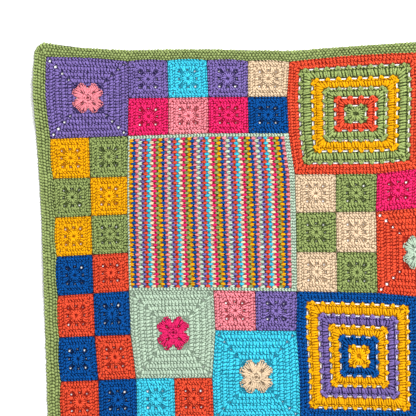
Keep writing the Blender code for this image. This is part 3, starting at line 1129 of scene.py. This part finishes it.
def makeBorder(name):
    look = borderLook
    stitches = Stitches(0, 0)
    across, down = (columns, endBorder, sideBorder), (rows, sideBorder, endBorder)
    # start corner and direction of each side, its length, its width and the next side's
    ways = (
        ((0, 0), (1, 0), *across),
        ((columns, 0), (0, 1), *down),
        ((columns, rows), (-1, 0), *across),
        ((0, rows), (0, -1), *down),
    )
    for (col, row), (stepCol, stepRow), length, width, beyond in ways:
        outCol, outRow = stepRow, -stepCol
        heading = math.degrees(math.atan2(-stepRow, stepCol))
        squeeze = width / sideBorder
        for share, height, turn, stitchLength, stitchWidth, tone, phase in look["rows"]:
            out = share * width
            reach = length * unit + 2 * share * beyond
            count = round(reach / look["pitch"])
            size = stitchLength * squeeze, stitchWidth, look["thick"]
            for k in range(count):
                along = -share * beyond + (k + phase) * reach / count
                x = col * unit + stepCol * along + outCol * out
                y = row * unit + stepRow * along + outRow * out
                stitches.put(x, -y, height, heading + turn, *size, look["yarn"], tone=tone)
    wide, tall = columns * unit / 2, rows * unit / 2

    def isInside(x, y):
        return abs(x) < wide and abs(y) < tall

    xs = [sign * (wide + sideBorder * share) for sign in (-1, 1) for share in look["cloth"]]
    ys = [sign * (tall + endBorder * share) for sign in (-1, 1) for share in look["cloth"]]
    xs = sorted(xs + [(k - columns / 2) * unit for k in range(columns + 1)])
    ys = sorted(ys + [(k - rows / 2) * unit for k in range(rows + 1)])
    groundNet(columns / 2, rows / 2, xs, ys, isInside, lambda x, y: look["yarn"])
    return stitches.finished(name)


# All pieces

makers = {"flower": makeFlower, "granny": makeGranny, "stripes": makeStripes}
pieces = []


def fitted(piece, nodes):
    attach(piece, "root")
    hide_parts(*nodes)
    pieces.append(piece)


for kind, row, col, yarnNames in bigSquares:
    piece = makers[kind](f"{kind}Crochet_r{row}c{col}", row, col, yarnNames)
    fitted(piece, [f"{kind}_r{row}c{col}"])
print("big squares made", len(pieces))
for row, firstCol, yarnNames in smallRuns:
    for step, yarnName in enumerate(yarnNames):
        col = firstCol + step
        piece = makeSmall(f"smallCrochet_r{row}c{col}", row, col, yarnName)
        fitted(piece, [f"small_r{row}c{col}"])
print("small squares made", len(pieces))
fitted(makeBorder("borderCrochet"), ["border_top", "border_bottom", "border_left", "border_right"])
ground = finishedGround()
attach(ground, "root")
counts = [sum(len(face.vertices) - 2 for face in piece.data.polygons) for piece in pieces + [ground]]
print("border and ground made; triangles in all", sum(counts), "most in one", max(counts))

bpy.data.objects.remove(strandObject)


# Floor, light and camera

studio = {
    "millimetresPerPixel": 75 / 41,     # of the photograph, on the throw
    "firstCrossing": (46.5, 58.0),      # pixel of the upper left crossing of the seams
    "imageSide": 416,
    "cameraHeight": 2.4,                # metres
    "floorSide": 2.4,
    "floorTone": 0.88,
    "floorGrain": (6.0, 0.01),          # scale and depth
    "floorRoughness": 0.8,
    "keyFrom": (2.5, 2.1, 3.5),         # from the point that the camera looks at
    "keySize": 1.5,
    "keyPower": 350,
    "surround": 1.05,
}


def makeFloor():
    side = studio["floorSide"]
    mesh = bpy.data.meshes.new("floor")
    corners = [(-side, -side, 0), (side, -side, 0), (side, side, 0), (-side, side, 0)]
    mesh.from_pydata(corners, [], [(0, 1, 2, 3)])
    scale, depth = studio["floorGrain"]
    material = bpy.data.materials.new("paleFloor")
    material.use_nodes = True
    tree = Tree(material.node_tree)
    shader = material.node_tree.nodes["Principled BSDF"]
    place = tree.add("ShaderNodeTexCoord").outputs["Object"]
    grain = tree.add("ShaderNodeTexNoise", Vector=place, Scale=scale, Detail=2.0)
    tone = Value(grain.outputs["Fac"]) * depth + studio["floorTone"]
    colour = tree.add("ShaderNodeCombineXYZ", X=tone, Y=tone, Z=tone)
    tree.feed(shader.inputs["Base Color"], colour.outputs[0])
    shader.inputs["Roughness"].default_value = studio["floorRoughness"]
    mesh.materials.append(material)
    floor = bpy.data.objects.new("floor", mesh)
    bpy.context.scene.collection.objects.link(floor)


def makeLight(name, place, aim, size, power):
    data = bpy.data.lights.new(name, "AREA")
    data.size = size
    data.energy = power
    lamp = bpy.data.objects.new(name, data)
    lamp.location = place
    lamp.rotation_euler = (Vector(aim) - Vector(place)).to_track_quat("-Z", "Y").to_euler()
    bpy.context.scene.collection.objects.link(lamp)


def makeCamera():
    middlePixel = studio["imageSide"] / 2
    scale = studio["millimetresPerPixel"]
    east = (middlePixel - studio["firstCrossing"][0]) * scale
    south = (middlePixel - studio["firstCrossing"][1]) * scale
    data = bpy.data.cameras.new("camera")
    data.sensor_width = 36
    data.lens = data.sensor_width * studio["cameraHeight"] / (studio["imageSide"] * scale * mm)
    camera = bpy.data.objects.new("camera", data)
    camera.location = ((east - middleEast) * mm, (middleSouth - south) * mm, studio["cameraHeight"])
    bpy.context.scene.collection.objects.link(camera)
    bpy.context.scene.camera = camera
    return camera


makeFloor()
camera = makeCamera()
aim = (camera.location.x, camera.location.y, 0)
makeLight("keyLight", Vector(aim) + Vector(studio["keyFrom"]), aim, studio["keySize"], studio["keyPower"])
world = bpy.data.worlds.new("studio")
world.use_nodes = True
world.node_tree.nodes["Background"].inputs["Color"].default_value = (1, 1, 1, 1)
world.node_tree.nodes["Background"].inputs["Strength"].default_value = studio["surround"]
bpy.context.scene.world = world
bpy.context.scene.view_settings.view_transform = "Standard"
print("studio made")
